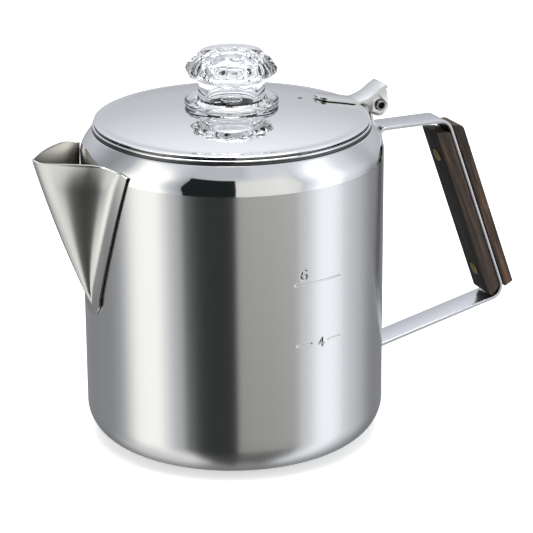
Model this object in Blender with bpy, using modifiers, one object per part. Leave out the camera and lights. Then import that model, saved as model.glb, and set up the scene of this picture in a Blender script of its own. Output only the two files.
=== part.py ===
"""Camping coffee percolator: steel pot, hinged lid, clear knob and pump basket.

Metres, +Z up. The origin is the centre of the pot's base, the handle points
along +X and the spout along -X. Run with: blender --background --python part.py
"""

import math

import bmesh
import bpy
from mathutils import Matrix, Vector

MM = 0.001

# Driving dimensions, in millimetres.
POT_R = 60.0            # outside radius of the straight wall
POT_WALL = 1.0          # sheet thickness of wall and base
POT_CORNER = 13.0       # radius between base and wall
SHOULDER_Z = 117.6      # where the wall starts to turn in
RIM_R = 54.3            # centre line of the rolled rim
RIM_Z = 127.7
RIM_BEAD = 0.8

LID_R = 54.4
LID_TOP = 135.1         # height of the lid's flat centre
LID_FLAT_R = 10.0
LID_SAG = 0.0030        # fall of the dome per square millimetre beyond the flat
LID_EDGE_Z = 129.2
LID_SHEET = 1.0
LID_SKIRT_R = 52.6
LID_SKIRT_Z = 121.5
LID_HOLE_R = 11.9
VENT_X = 29.6
VENT_R = 1.0

PIN_X, PIN_Z = 62.7, 128.5
PIN_R = 1.7
PIN_HEAD_R = 2.3
EAR_GAP = 8.4           # clear width between the two ears
EAR_T = 1.1
LEAF_W = EAR_GAP + 2 * EAR_T
BRACKET_W = 7.4
BRACKET_T = 1.2

STRAP_W = 12.5
STRAP_T = 1.5
STRAP_TOP_Z = 118.4
GRIP_TOP = (93.6, 118.4)      # where the slanted leg meets the top run
GRIP_LOW = (122.0, 39.0)      # where it meets the lower run
STRAP_FOOT = (62.8, 24.6)     # lower run at the pot
GRIP_W = 13.4
GRIP_IN, GRIP_OUT = 7.0, 5.4  # depth of each half from the strap's centre line
RIVET_R, RIVET_HEAD_R = 1.6, 3.0

SPOUT_T = 0.8
SPOUT_TIP_X, SPOUT_TIP_Z = -82.6, 122.8
KEEL_X, KEEL_Z = -60.7, 60.5  # lower end of the spout's ridge
SPOUT_LOW_Z = 57.4
CREASE_TOP = 22.0       # half width of the spout's body at the height of its tip

KNOB_FLANGE_R = 18.6
KNOB_NECK_R = 13.2
KNOB_HEAD_R = 18.2
KNOB_TOP_R = 11.8
KNOB_H = 21.9
KNOB_CAVITY_R = 9.3
FLUTES = 12

TUBE_R, TUBE_BORE = 4.4, 3.6
TUBE_TOP = 137.3
FOOT_R, FOOT_H = 29.0, 12.0
COLLAR_Z = 77.6
BASKET_R, BASKET_LOW, BASKET_TOP = 37.5, 81.0, 116.6
BASKET_T = 0.9
SPREADER_Z = 117.0

GAP = 0.3               # clearance kept between neighbouring pieces
ROUND = 48              # steps of the large turned pieces


# ---------------------------------------------------------------- helpers

def clear_scene():
    for ob in list(bpy.data.objects):
        bpy.data.objects.remove(ob, do_unlink=True)


def new_collection(name):
    col = bpy.data.collections.new(name)
    bpy.context.scene.collection.children.link(col)
    return col


def material(name, colour, roughness, metallic, transmission=0.0):
    mat = bpy.data.materials.new(name)
    mat.use_nodes = True
    bsdf = mat.node_tree.nodes["Principled BSDF"]
    bsdf.inputs["Base Color"].default_value = (*colour, 1.0)
    bsdf.inputs["Roughness"].default_value = roughness
    bsdf.inputs["Metallic"].default_value = metallic
    bsdf.inputs["Transmission Weight"].default_value = transmission
    mat.diffuse_color = (*colour, 1.0)
    return mat


def add_object(name, mesh, col, mat=None):
    ob = bpy.data.objects.new(name, mesh)
    col.objects.link(ob)
    if mat:
        mesh.materials.append(mat)
    return ob


def smooth(ob, angle=35.0):
    ob.data.shade_smooth()
    ob.data.set_sharp_from_angle(angle=math.radians(angle))


def turned(name, profile, col, mat=None, steps=ROUND, closed=True, centre=(0, 0)):
    """A profile of (radius, height) points turned about a vertical axis."""
    mesh = bpy.data.meshes.new(name)
    verts = [(r * MM, 0.0, z * MM) for r, z in profile]
    n = len(verts)
    edges = [(i, i + 1) for i in range(n - 1)]
    if closed:
        edges.append((n - 1, 0))
    mesh.from_pydata(verts, edges, [])
    ob = add_object(name, mesh, col, mat)
    ob.location = (centre[0] * MM, centre[1] * MM, 0.0)
    mod = ob.modifiers.new("Screw", "SCREW")
    mod.axis = "Z"
    mod.angle = 2 * math.pi
    mod.steps = steps
    mod.render_steps = steps
    mod.use_merge_vertices = True
    mod.merge_threshold = 0.00002
    mod.use_smooth_shade = True
    return ob


def arc(cx, cz, rx, rz, a0, a1, n):
    """Points on an ellipse from angle a0 to a1 in degrees, both ends kept."""
    pts = []
    for i in range(n + 1):
        a = math.radians(a0 + (a1 - a0) * i / n)
        pts.append((cx + rx * math.cos(a), cz + rz * math.sin(a)))
    return pts


def rounded(points, radii, n=4):
    """An open polyline with its inner corners replaced by arcs."""
    out = [points[0]]
    for i in range(1, len(points) - 1):
        p, a, b = Vector(points[i]), Vector(points[i - 1]), Vector(points[i + 1])
        r = radii[i - 1]
        if r <= 0:
            out.append(tuple(p))
            continue
        u, v = (a - p).normalized(), (b - p).normalized()
        half = math.acos(max(-1.0, min(1.0, u.dot(v)))) / 2
        d = r / math.tan(half)
        c = p + (u + v).normalized() * (r / math.sin(half))
        start, end = p + u * d - c, p + v * d - c
        a0 = math.atan2(start.y, start.x)
        turn = math.atan2(start.x * end.y - start.y * end.x, start.dot(end))
        for k in range(n + 1):
            t = a0 + turn * k / n
            out.append((c.x + r * math.cos(t), c.y + r * math.sin(t)))
    out.append(points[-1])
    return out


def strip(name, path, widths, thickness, col, mat=None, offset=0.0):
    """A bent strip: an (x, z) path widened along Y and thickened both ways."""
    mesh = bpy.data.meshes.new(name)
    bm = bmesh.new()
    rows = []
    for (x, z), w in zip(path, widths):
        rows.append([bm.verts.new((x * MM, s * w / 2 * MM, z * MM)) for s in (-1, 1)])
    for a, b in zip(rows, rows[1:]):
        bm.faces.new((a[0], a[1], b[1], b[0]))
    bm.to_mesh(mesh)
    bm.free()
    ob = add_object(name, mesh, col, mat)
    mod = ob.modifiers.new("Thickness", "SOLIDIFY")
    mod.thickness = thickness * MM
    mod.offset = offset
    mod.use_even_offset = True
    return ob


def slab(name, outline, width, col, mat=None, y=0.0):
    """A flat (x, z) outline given a thickness along Y, centred on y."""
    mesh = bpy.data.meshes.new(name)
    bm = bmesh.new()
    bm.faces.new([bm.verts.new((x * MM, 0.0, z * MM)) for x, z in outline])
    bm.to_mesh(mesh)
    bm.free()
    ob = add_object(name, mesh, col, mat)
    ob.location.y = y * MM
    mod = ob.modifiers.new("Thickness", "SOLIDIFY")
    mod.thickness = width * MM
    mod.offset = 0.0
    return ob


def bevel(ob, width, segments=2, angle=40.0):
    mod = ob.modifiers.new("Edges", "BEVEL")
    mod.width = width * MM
    mod.segments = segments
    mod.limit_method = "ANGLE"
    mod.angle_limit = math.radians(angle)
    return mod


def cutter_of(name, col, shapes):
    """One cutter object of separate cylinders: (centre, axis, radius, length, sides)."""
    mesh = bpy.data.meshes.new(name)
    bm = bmesh.new()
    for centre, axis, radius, length, sides in shapes:
        rot = Vector(axis).to_track_quat("Z", "Y").to_matrix().to_4x4()
        place = Matrix.Translation(Vector(centre) * MM) @ rot
        bmesh.ops.create_cone(
            bm, cap_ends=True, cap_tris=False, segments=sides,
            radius1=radius * MM, radius2=radius * MM, depth=length * MM, matrix=place)
    bm.to_mesh(mesh)
    bm.free()
    ob = add_object(name, mesh, col)
    hide_cutter(ob)
    return ob


def hide_cutter(ob):
    ob.hide_render = True
    ob.display_type = "WIRE"


def boolean(ob, other, operation):
    mod = ob.modifiers.new(operation.title(), "BOOLEAN")
    mod.operation = operation
    mod.solver = "EXACT"
    mod.object = other
    return mod


# ---------------------------------------------------------------- pot

def shoulder(offset):
    """The turned-in upper wall as (radius, height), from the wall to the rim."""
    pts = [(60.0, SHOULDER_Z), (59.75, 119.1), (59.2, 120.5), (58.4, 121.9),
           (57.4, 123.4), (56.4, 124.8), (55.5, 126.0)]
    return [(r - offset, z - offset * 0.45) for r, z in pts]


def make_pot(col, cutters, mat):
    inner = POT_R - POT_WALL
    profile = [(0.0, POT_WALL), (POT_R - POT_CORNER, POT_WALL)]
    profile += arc(POT_R - POT_CORNER, POT_CORNER, inner - POT_R + POT_CORNER,
                   POT_CORNER - POT_WALL, -90, 0, 5)[1:]
    profile += shoulder(POT_WALL)
    profile += arc(RIM_R, RIM_Z, RIM_BEAD + 0.1, RIM_BEAD, 215, -35, 5)
    profile += shoulder(0.0)[::-1]
    profile += arc(POT_R - POT_CORNER, POT_CORNER, POT_CORNER, POT_CORNER, 0, -90, 5)
    profile += [(0.0, 0.0)]
    pot = turned("pot_body", profile, col, mat, closed=False)
    holes = []
    for row in range(6):
        z = 78.0 + row * 6.4
        half = 1 + row // 2
        for k in range(-half, half + 1):
            shift = 0.5 if row % 2 else 0.0
            if shift and k == half:
                continue
            a = math.radians(180.0 + (k + shift) * 5.6)
            d = (math.cos(a), math.sin(a), 0.0)
            holes.append(((d[0] * POT_R, d[1] * POT_R, z), d, 1.6, 6.0, 8))
    boolean(pot, cutter_of("cut_strainer", cutters, holes), "DIFFERENCE")
    return pot


# ---------------------------------------------------------------- spout

def flange_half(z):
    """Half the width of the spout's outline on the pot, at height z."""
    marks = [(65.5, 8.2), (90.0, 17.0), (117.5, 26.2), (127.0, 29.0)]
    if z < marks[0][0]:
        reach = marks[0][0] - SPOUT_LOW_Z
        t = (marks[0][0] - z) / reach
        return marks[0][1] * math.sqrt(max(0.0, 1.0 - 0.93 * t * t))
    for (z0, h0), (z1, h1) in zip(marks, marks[1:]):
        if z <= z1:
            return h0 + (h1 - h0) * (z - z0) / (z1 - z0)
    return marks[-1][1]


def rim_height(q):
    """Height of the spout's free edge; q runs 0 at the nose, 1 at the crease, 2 at the flange."""
    marks = [(0.0, SPOUT_TIP_Z), (0.06, 122.6), (0.12, 122.3), (0.20, 122.2), (0.33, 122.5),
             (0.46, 122.9), (0.60, 123.1), (0.78, 123.1), (0.87, 122.8), (0.96, 122.3),
             (1.08, 121.5), (1.20, 120.8), (1.35, 120.3), (1.7, 119.7), (2.0, 119.2)]
    for (q0, h0), (q1, h1) in zip(marks, marks[1:]):
        if q <= q1:
            return h0 + (h1 - h0) * (q - q0) / (q1 - q0)
    return marks[-1][1]


def sharp_section(q, z):
    """Middle of the spout's sheet on the -Y side, before the crease is rounded."""
    on_pot = POT_R + GAP + SPOUT_T / 2
    full = flange_half(z)
    climb = (z - KEEL_Z) / (SPOUT_TIP_Z - KEEL_Z)
    crease = max(CREASE_TOP * climb, full * 0.25)
    belly = 4.4 * max(0.0, climb * (1.0 - climb))
    nose = max(-(KEEL_X + (SPOUT_TIP_X - KEEL_X) * climb) + belly, on_pot)
    if q >= 1.0:
        w = crease + (full - crease) * (q - 1.0)
        return (-math.sqrt(on_pot ** 2 - w * w), -w)
    foot = math.sqrt(on_pot ** 2 - crease ** 2)
    return (-(nose - (nose - foot) * q ** 1.65), -crease * q)


def spout_point(q, z):
    """The section with a broad fillet where the body turns into the flange."""
    reach = max(0.0, min(q, 0.36 - 0.6 * abs(q - 1.0)))
    a, b, c = (Vector(sharp_section(t, z)) for t in (q - reach, q, min(2.0, q + reach)))
    return tuple(a * 0.3 + b * 0.4 + c * 0.3)


def make_spout(col, mat):
    side = [0.0, 0.06, 0.12, 0.20, 0.33, 0.46, 0.60, 0.70, 0.78, 0.87, 0.96, 1.08, 1.20, 1.35, 1.7, 2.0]
    columns = [(-1, q) for q in side[:0:-1]] + [(1, q) for q in side]
    rows = [0.0, 0.03, 0.065, 0.11, 0.17, 0.25, 0.34, 0.44, 0.54, 0.64, 0.74, 0.83, 0.91, 0.96, 1.0]
    mesh = bpy.data.meshes.new("spout")
    bm = bmesh.new()
    grid = []
    for v in rows:
        line = []
        for s, q in columns:
            z = SPOUT_LOW_Z + (rim_height(q) - SPOUT_LOW_Z) * v
            x, y = spout_point(q, z)
            line.append(bm.verts.new((x * MM, -s * y * MM, z * MM)))
        grid.append(line)
    for a, b in zip(grid, grid[1:]):
        for i in range(len(a) - 1):
            bm.faces.new((a[i], a[i + 1], b[i + 1], b[i]))
    bmesh.ops.recalc_face_normals(bm, faces=bm.faces)
    bm.to_mesh(mesh)
    bm.free()
    ob = add_object("spout", mesh, col, mat)
    mod = ob.modifiers.new("Thickness", "SOLIDIFY")
    mod.thickness = SPOUT_T * MM
    mod.offset = 0.0
    mod.use_even_offset = True
    return ob


# ---------------------------------------------------------------- handle

def slant():
    """Unit vectors down the grip and out of it, in (x, z)."""
    d = Vector((GRIP_LOW[0] - GRIP_TOP[0], GRIP_LOW[1] - GRIP_TOP[1])).normalized()
    return d, Vector((-d.y, d.x))


def make_strap(col, cutters, mat):
    tab_x = POT_R + 3 * GAP + BRACKET_T + STRAP_T / 2 - 0.3
    foot_x = POT_R + 2 * GAP + STRAP_T / 2
    foot_z = STRAP_FOOT[1] - 0.2
    corners = [(tab_x, 106.0), (tab_x, STRAP_TOP_Z), GRIP_TOP, GRIP_LOW,
               (foot_x, foot_z), (foot_x, 37.0)]
    path = rounded(corners, [2.5, 6.0, 5.0, 2.0], 4)
    strap = strip("handle_strap", path, [STRAP_W] * len(path), STRAP_T, col, mat)
    holes = [(p, (n[0], 0.0, n[1]), RIVET_R + GAP, 8.0, 10) for p, n in rivet_places()]
    boolean(strap, cutter_of("cut_strap_holes", cutters, holes), "DIFFERENCE")
    return strap


def rivet_places():
    d, n = slant()
    out = []
    for z in (104.7, 52.3):
        t = (GRIP_TOP[1] - z) / -d.y
        x = GRIP_TOP[0] + d.x * t
        out.append(((x, 0.0, z), (n.x, n.y)))
    return out


def slanted(point_z, offset):
    """Point at height point_z on the line parallel to the grip at an offset."""
    d, n = slant()
    base = Vector(GRIP_TOP) + n * offset
    t = (base.y - point_z) / -d.y
    return (base.x + d.x * t, point_z)


def make_grips(col, cutters, mat):
    near, far = STRAP_T / 2 + GAP, GRIP_OUT
    top_far = slanted(112.9, far)
    outline = [slanted(42.2, near), slanted(44.2, far), top_far]
    outline += arc(top_far[0] - 3.5, 112.9, 3.3, 3.3, 20, 90, 4)
    outline += [slanted(116.2, near)]
    outer = slab("grip_outer", outline, GRIP_W, col, mat)
    deep = -GRIP_IN
    outline = [slanted(113.4, -near), slanted(113.9, deep), slanted(40.2, deep),
               slanted(38.9, deep + 1.4), slanted(43.0, -near)]
    inner = slab("grip_inner", outline, GRIP_W, col, mat)
    for ob in (outer, inner):
        bevel(ob, 0.6, 2)
        holes = [(p, (n[0], 0.0, n[1]), RIVET_R + GAP, 30.0, 10) for p, n in rivet_places()]
        boolean(ob, cutter_of("cut_" + ob.name, cutters, holes), "DIFFERENCE")
    return inner, outer


def make_rivets(col, mat):
    out = []
    length_in, length_out = GRIP_IN + GAP, GRIP_OUT + GAP
    for name, (p, n) in zip(("grip_rivet_upper", "grip_rivet_lower"), rivet_places()):
        head, h = RIVET_HEAD_R, 0.9
        profile = [(0.0, length_out + h), (head * 0.6, length_out + h * 0.8),
                   (head, length_out + h * 0.25), (head, length_out), (RIVET_R, length_out),
                   (RIVET_R, -length_in), (head, -length_in), (head, -length_in - h * 0.25),
                   (head * 0.6, -length_in - h * 0.8), (0.0, -length_in - h)]
        ob = turned(name, profile, col, mat, steps=16, closed=False)
        ob.location = Vector(p) * MM
        ob.rotation_euler = Vector((n[0], 0.0, n[1])).to_track_quat("Z", "Y").to_euler()
        out.append(ob)
    return out


# ---------------------------------------------------------------- hinge

def dome(r):
    return LID_TOP - LID_SAG * max(0.0, r - LID_FLAT_R) ** 2


def make_bracket(col, mat):
    x = POT_R + GAP + BRACKET_T / 2
    r = PIN_R + GAP + BRACKET_T / 2
    path = [(x, 106.0), (x, 112.0), (x, 118.4), (60.3, 121.4), (59.8, 124.2),
            (PIN_X - r, 126.9)]
    path += arc(PIN_X, PIN_Z, r, r, 180, -95, 14)
    return strip("hinge_bracket", path, [BRACKET_W] * len(path), BRACKET_T, col, mat)


def make_leaf(col, cutters, mat):
    half = LEAF_W / 2
    lift = GAP + EAR_T / 2
    end_x = 36.0
    path, widths = [], []
    for a in (10, 28, 46, 64, 82):
        x = end_x + half - half * math.cos(math.radians(a))
        path.append((x, dome(x) + lift))
        widths.append(2 * half * math.sin(math.radians(a)))
    for x in (44.0, 48.0, 50.5):
        path.append((x, dome(x) + lift))
        widths.append(LEAF_W)
    roof = [(55.0, 130.75), (57.4, 131.5), (60.0, 132.9), (62.7, 134.8), (64.7, 135.9), (65.9, 135.5)]
    path += roof
    widths += [LEAF_W] * len(roof)
    leaf = strip("hinge_leaf", path, widths, EAR_T, col, mat)
    outline = [(55.2, 130.8), (57.4, 131.5), (60.0, 132.9), (62.7, 134.8), (64.6, 135.8), (65.6, 134.6)]
    outline += arc(PIN_X, PIN_Z, 3.9, 4.5, 15, -150, 9)
    outline += [(57.3, 128.3)]
    for name, s in (("near", -1), ("far", 1)):
        ear = slab("join_ear_" + name, outline[::-1], EAR_T, cutters, None,
                   y=s * (EAR_GAP + EAR_T) / 2)
        hide_cutter(ear)
        boolean(leaf, ear, "UNION")
    hole = cutter_of("cut_pin_hole", cutters,
                     [((PIN_X, 0.0, PIN_Z), (0, 1, 0), PIN_R + GAP, 30.0, 16)])
    boolean(leaf, hole, "DIFFERENCE")
    return leaf


def make_pin(col, mat):
    reach = LEAF_W / 2 + GAP
    h = 0.8
    bore = 1.0
    profile = [(bore, reach + h), (PIN_HEAD_R - 0.4, reach + h), (PIN_HEAD_R, reach + h - 0.4),
               (PIN_HEAD_R, reach), (PIN_R, reach), (PIN_R, -reach), (PIN_HEAD_R, -reach),
               (PIN_HEAD_R, -reach - h + 0.4), (PIN_HEAD_R - 0.4, -reach - h), (bore, -reach - h)]
    ob = turned("hinge_pin", profile, col, mat, steps=16)
    ob.location = (PIN_X * MM, 0.0, PIN_Z * MM)
    ob.rotation_euler = (math.radians(90), 0.0, 0.0)
    return ob


# ---------------------------------------------------------------- lid

def make_lid(col, cutters, mat):
    t = LID_SHEET
    top = [(LID_HOLE_R, dome(LID_HOLE_R)), (19.0, dome(19.0)), (27.0, dome(27.0)),
           (35.0, dome(35.0)), (43.0, dome(43.0)), (50.0, dome(50.0))]
    edge_h = dome(51.0) - LID_EDGE_Z - 0.3
    edge = arc(LID_R - 2.6, LID_EDGE_Z + 0.3, 2.6, edge_h, 80, 0, 5) + [(LID_R, LID_EDGE_Z)]
    under = [(LID_SKIRT_R, LID_EDGE_Z), (LID_SKIRT_R, LID_SKIRT_Z),
             (LID_SKIRT_R - t, LID_SKIRT_Z), (LID_SKIRT_R - t, LID_EDGE_Z + 0.2),
             (LID_SKIRT_R - t - 1.2, dome(50.0) - t)]
    inside = [(43.0, dome(43.0) - t), (35.0, dome(35.0) - t), (27.0, dome(27.0) - t),
              (19.0, dome(19.0) - t), (LID_HOLE_R, dome(LID_HOLE_R) - t)]
    lid = turned("lid", top + edge + under + inside, col, mat)
    cuts = [((VENT_X, 0.0, dome(VENT_X)), (0, 0, 1), VENT_R, 8.0, 10)]
    boolean(lid, cutter_of("cut_vent", cutters, cuts), "DIFFERENCE")
    mesh = bpy.data.meshes.new("cut_bayonet")
    bm = bmesh.new()
    bmesh.ops.create_cube(bm, size=1.0, matrix=Matrix.Translation((0, 0, LID_TOP * MM))
                          @ Matrix.Rotation(math.radians(60), 4, "Z")
                          @ Matrix.Diagonal((30.0 * MM, 7.0 * MM, 8.0 * MM, 1.0)))
    bm.to_mesh(mesh)
    bm.free()
    notch = add_object("cut_bayonet", mesh, cutters)
    hide_cutter(notch)
    boolean(lid, notch, "DIFFERENCE")
    return lid


def make_knob(col, cutters, mat):
    z0 = LID_TOP
    seat = GAP
    spigot = LID_HOLE_R - GAP - 0.1
    low = -3.6
    outer = [(KNOB_TOP_R - 1.0, KNOB_H - 1.0), (KNOB_TOP_R, KNOB_H - 1.7),
             (14.6, 18.1), (17.4, 15.8), (KNOB_HEAD_R, 14.4), (KNOB_HEAD_R - 0.2, 13.2),
             (16.4, 11.9), (KNOB_NECK_R + 0.4, 10.9), (KNOB_NECK_R, 9.6), (KNOB_NECK_R, 4.0),
             (KNOB_NECK_R + 0.6, 2.9), (17.6, 2.6), (KNOB_FLANGE_R, 1.9), (KNOB_FLANGE_R, 0.7),
             (KNOB_FLANGE_R - 0.3, seat), (spigot, seat), (spigot, low)]
    inner = [(KNOB_CAVITY_R, low), (KNOB_CAVITY_R, 14.4), (7.6, 16.8), (4.2, 18.0), (0.0, 18.4)]
    profile = [(0.0, KNOB_H), (6.0, KNOB_H - 0.25)] + outer + inner
    knob = turned("knob", [(r, z0 + z) for r, z in profile], col, mat, steps=48, closed=False)
    shapes = []
    for k in range(FLUTES):
        a = 2 * math.pi * (k + 0.5) / FLUTES
        c, s = math.cos(a), math.sin(a)
        lean = Vector((-0.50 * c, -0.50 * s, 1.0)).normalized()
        shapes.append(((20.9 * c, 20.9 * s, z0 + 15.0), tuple(lean), 4.1, 13.0, 14))
    boolean(knob, cutter_of("cut_flutes", cutters, shapes), "DIFFERENCE")
    mesh = bpy.data.meshes.new("join_lugs")
    bm = bmesh.new()
    for s in (-1, 1):
        bmesh.ops.create_cube(bm, size=1.0, matrix=Matrix.Translation(
            (s * 12.1 * MM, 0, (z0 - 2.7) * MM)) @ Matrix.Diagonal((4.0 * MM, 5.6 * MM, 1.6 * MM, 1.0)))
    bm.to_mesh(mesh)
    bm.free()
    lugs = add_object("join_lugs", mesh, cutters)
    hide_cutter(lugs)
    boolean(knob, lugs, "UNION")
    return knob


# ---------------------------------------------------------------- pump and basket

def make_pump(col, cutters, mat):
    tube = turned("pump_tube", [(TUBE_R, TUBE_TOP - 0.3), (TUBE_R, 14.6), (TUBE_R, 4.0),
                                (TUBE_BORE, 4.0), (TUBE_BORE, TUBE_TOP), (TUBE_R - 0.3, TUBE_TOP)],
                  col, mat, steps=20)
    t = 1.1
    low = POT_WALL + GAP
    sleeve = TUBE_R + GAP
    outer = [(sleeve + t, FOOT_H + 4.0), (sleeve + t, FOOT_H), (10.0, FOOT_H - 1.6),
             (20.0, FOOT_H - 4.6), (FOOT_R - 1.4, 4.6), (FOOT_R, low + 1.2), (FOOT_R, low)]
    inner = [(FOOT_R - t, low), (FOOT_R - t - 0.2, low + 1.4), (FOOT_R - 2.6, 4.6 - t * 0.6),
             (20.0, FOOT_H - 4.6 - t * 1.05), (10.0, FOOT_H - 1.6 - t), (sleeve, FOOT_H - t),
             (sleeve, FOOT_H + 4.0)]
    foot = turned("pump_foot", outer + inner, col, mat, steps=32)
    cuts = []
    for k in range(4):
        a = math.radians(45 + 90 * k)
        d = (math.cos(a), math.sin(a), 0.0)
        cuts.append(((d[0] * FOOT_R, d[1] * FOOT_R, low), d, 1.7, 9.0, 10))
    boolean(foot, cutter_of("cut_foot", cutters, cuts), "DIFFERENCE")
    z = COLLAR_Z
    collar = turned("pump_collar", [(7.4, z + 2.4), (7.8, z + 2.0), (7.8, z + 0.4), (7.4, z),
                                    (sleeve, z), (sleeve, z + 2.4)], col, mat, steps=24)
    return tube, foot, collar


def ring_holes(radius, count, z, size, phase=0.0):
    out = []
    for k in range(count):
        a = 2 * math.pi * (k + phase) / count
        out.append(((radius * math.cos(a), radius * math.sin(a), z), (0, 0, 1), size, 6.0, 6))
    return out


def make_basket(col, cutters, mat):
    t, r, low, top = BASKET_T, BASKET_R, BASKET_LOW, BASKET_TOP
    sleeve = TUBE_R + GAP + 0.2
    profile = [(r, top), (r, low + 3.0)]
    profile += arc(r - 3.0, low + 3.0, 3.0, 3.0, 0, -90, 3)[1:]
    profile += [(sleeve + 2.5, low), (sleeve, low), (sleeve, low + 16.0), (sleeve + t, low + 16.0),
                (sleeve + t, low + 1.6), (sleeve + 2.6, low + t)]
    profile += arc(r - 3.0, low + 3.0, 3.0 - t, 3.0 - t, -90, 0, 3)
    profile += [(r - t, top)]
    basket = turned("basket", profile, col, mat, steps=32)
    z = low + t / 2
    holes = ring_holes(13.0, 8, z, 1.2) + ring_holes(20.0, 12, z, 1.2, 0.5) + ring_holes(27.5, 16, z, 1.2)
    for row, height in enumerate((low + 8.0, low + 15.0)):
        for k in range(16):
            a = 2 * math.pi * (k + 0.5 * row) / 16
            d = (math.cos(a), math.sin(a), 0.0)
            holes.append(((d[0] * r, d[1] * r, height), d, 1.1, 6.0, 6))
    boolean(basket, cutter_of("cut_basket", cutters, holes), "DIFFERENCE")
    return basket


def make_spreader(col, cutters, mat):
    t, z = 0.9, SPREADER_Z
    sleeve = TUBE_R + GAP + 0.2
    rim = BASKET_R + GAP + 0.2
    profile = [(sleeve + t, z + 6.0), (sleeve + t, z + 1.9), (sleeve + 2.4, z + t), (30.0, z + t),
               (rim - 1.0, z + t + 1.2), (rim + t - 0.5, z + t + 1.2), (rim + t, z + t + 0.7),
               (rim + t, z - 4.6), (rim, z - 4.6), (rim, z + 0.8), (rim - 1.6, z + 0.8),
               (30.4, z), (sleeve, z), (sleeve, z + 6.0)]
    spreader = turned("spreader", profile, col, mat, steps=32)
    mid = z + t / 2
    holes = (ring_holes(11.5, 8, mid, 1.2) + ring_holes(18.0, 12, mid, 1.2, 0.5)
             + ring_holes(24.5, 16, mid, 1.2))
    boolean(spreader, cutter_of("cut_spreader", cutters, holes), "DIFFERENCE")
    return spreader


# ---------------------------------------------------------------- assembly

def pivot(name, col, place):
    ob = bpy.data.objects.new(name, None)
    ob.empty_display_size = 0.02
    ob.location = Vector(place) * MM
    col.objects.link(ob)
    return ob


def hang(child, parent):
    """Parent a piece without moving it."""
    child.parent = parent
    child.matrix_parent_inverse = Matrix.Translation(-parent_place(parent))


def parent_place(ob):
    place = ob.location.copy()
    while ob.parent:
        ob = ob.parent
        place += ob.location
    return place


def main():
    clear_scene()
    parts = new_collection("coffee_percolator")
    cutters = new_collection("cutters")

    satin = material("satin_steel", (0.60, 0.59, 0.57), 0.30, 1.0)
    polished = material("polished_steel", (0.78, 0.78, 0.78), 0.06, 1.0)
    wood = material("dark_wood", (0.060, 0.028, 0.018), 0.45, 0.0)
    brass = material("brass", (0.72, 0.52, 0.22), 0.28, 1.0)
    clear = material("clear_plastic", (0.97, 0.98, 0.98), 0.04, 0.0, 1.0)
    thin = material("pump_metal", (0.70, 0.70, 0.71), 0.25, 1.0)

    make_pot(parts, cutters, satin)
    make_spout(parts, satin)
    make_strap(parts, cutters, satin)
    make_grips(parts, cutters, wood)
    make_rivets(parts, brass)
    make_bracket(parts, polished)
    make_pin(parts, polished)

    lid_pivot = pivot("lid_pivot", parts, (PIN_X, 0.0, PIN_Z))
    for ob in (make_lid(parts, cutters, polished), make_leaf(parts, cutters, polished)):
        hang(ob, lid_pivot)
    hang(make_knob(parts, cutters, clear), lid_pivot)

    pump_pivot = pivot("pump_pivot", parts, (0.0, 0.0, 0.0))
    for ob in make_pump(parts, cutters, thin):
        hang(ob, pump_pivot)
    hang(make_basket(parts, cutters, thin), pump_pivot)
    hang(make_spreader(parts, cutters, thin), pump_pivot)


main()
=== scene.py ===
"""Camping coffee percolator: the detailed visual model built round the CAD frame.

Lengths inside the helpers are in millimetres, in the frame's own axes: the
origin is the centre of the base, the handle points along +X and the spout
along -X.
"""

import math

import bmesh
import bpy
import numpy as np
from mathutils import Matrix, Vector


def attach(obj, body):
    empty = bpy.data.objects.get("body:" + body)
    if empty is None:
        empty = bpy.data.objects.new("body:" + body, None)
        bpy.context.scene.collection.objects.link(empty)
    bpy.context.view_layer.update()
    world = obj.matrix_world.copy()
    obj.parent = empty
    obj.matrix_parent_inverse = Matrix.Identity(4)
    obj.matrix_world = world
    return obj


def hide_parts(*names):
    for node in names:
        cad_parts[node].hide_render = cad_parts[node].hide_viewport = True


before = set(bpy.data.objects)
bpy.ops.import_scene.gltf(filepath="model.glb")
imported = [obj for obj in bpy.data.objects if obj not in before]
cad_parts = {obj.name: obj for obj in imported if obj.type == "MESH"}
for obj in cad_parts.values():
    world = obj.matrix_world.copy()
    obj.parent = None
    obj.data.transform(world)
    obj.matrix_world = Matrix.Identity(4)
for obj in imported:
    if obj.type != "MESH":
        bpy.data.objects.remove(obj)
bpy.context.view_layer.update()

MM = 0.001

# The CAD's driving dimensions, repeated in millimetres.
GAP = 0.3                   # between pieces that touch on the real object

POT_R, POT_WALL = 60.0, 1.0
POT_CORNER = 13.0           # radius between base and wall
SATIN_TOP = 115.8           # the wall is satin below this height and polished above
WALL_TOP = 116.7            # where the shoulder starts
RIM_R, RIM_Z = 54.2, 127.9  # centre line of the rolled rim
RIM_BEAD = 0.5

SPOUT_T = 0.8
SPOUT_TIP_X, SPOUT_TIP_Z = -82.6, 122.8
KEEL_X, KEEL_Z = -60.7, 60.5    # foot of the nose line, where it meets the wall
SPOUT_LOW_Z = 57.4              # bottom of the flange
FLANGE_ROUND_Z = 65.5           # the flange narrows in a round end below this
CREASE_TOP = 20.2               # half the width between the two creases at the top

STRAP_W, STRAP_T = 12.5, 1.5
STRAP_TOP_Z = 118.4
GRIP_TOP, GRIP_LOW = (93.6, 118.4), (122.0, 39.0)   # corners of the strap's middle line
GRIP_W, GRIP_IN, GRIP_OUT = 13.4, 7.0, 5.4
RIVET_R, RIVET_HEAD_R = 1.6, 3.0
RIVET_HEIGHTS = (104.7, 52.3)

PIN_X, PIN_Z = 62.7, 128.5
PIN_R, PIN_HEAD_R, PIN_BORE = 1.7, 2.05, 1.25
EAR_GAP, EAR_T = 8.4, 1.1
LEAF_W = EAR_GAP + 2 * EAR_T
BRACKET_W, BRACKET_T = 7.4, 1.2
TAB_LOW_Z = 106.0           # lower end of the bracket and of the strap's upper tab

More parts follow.
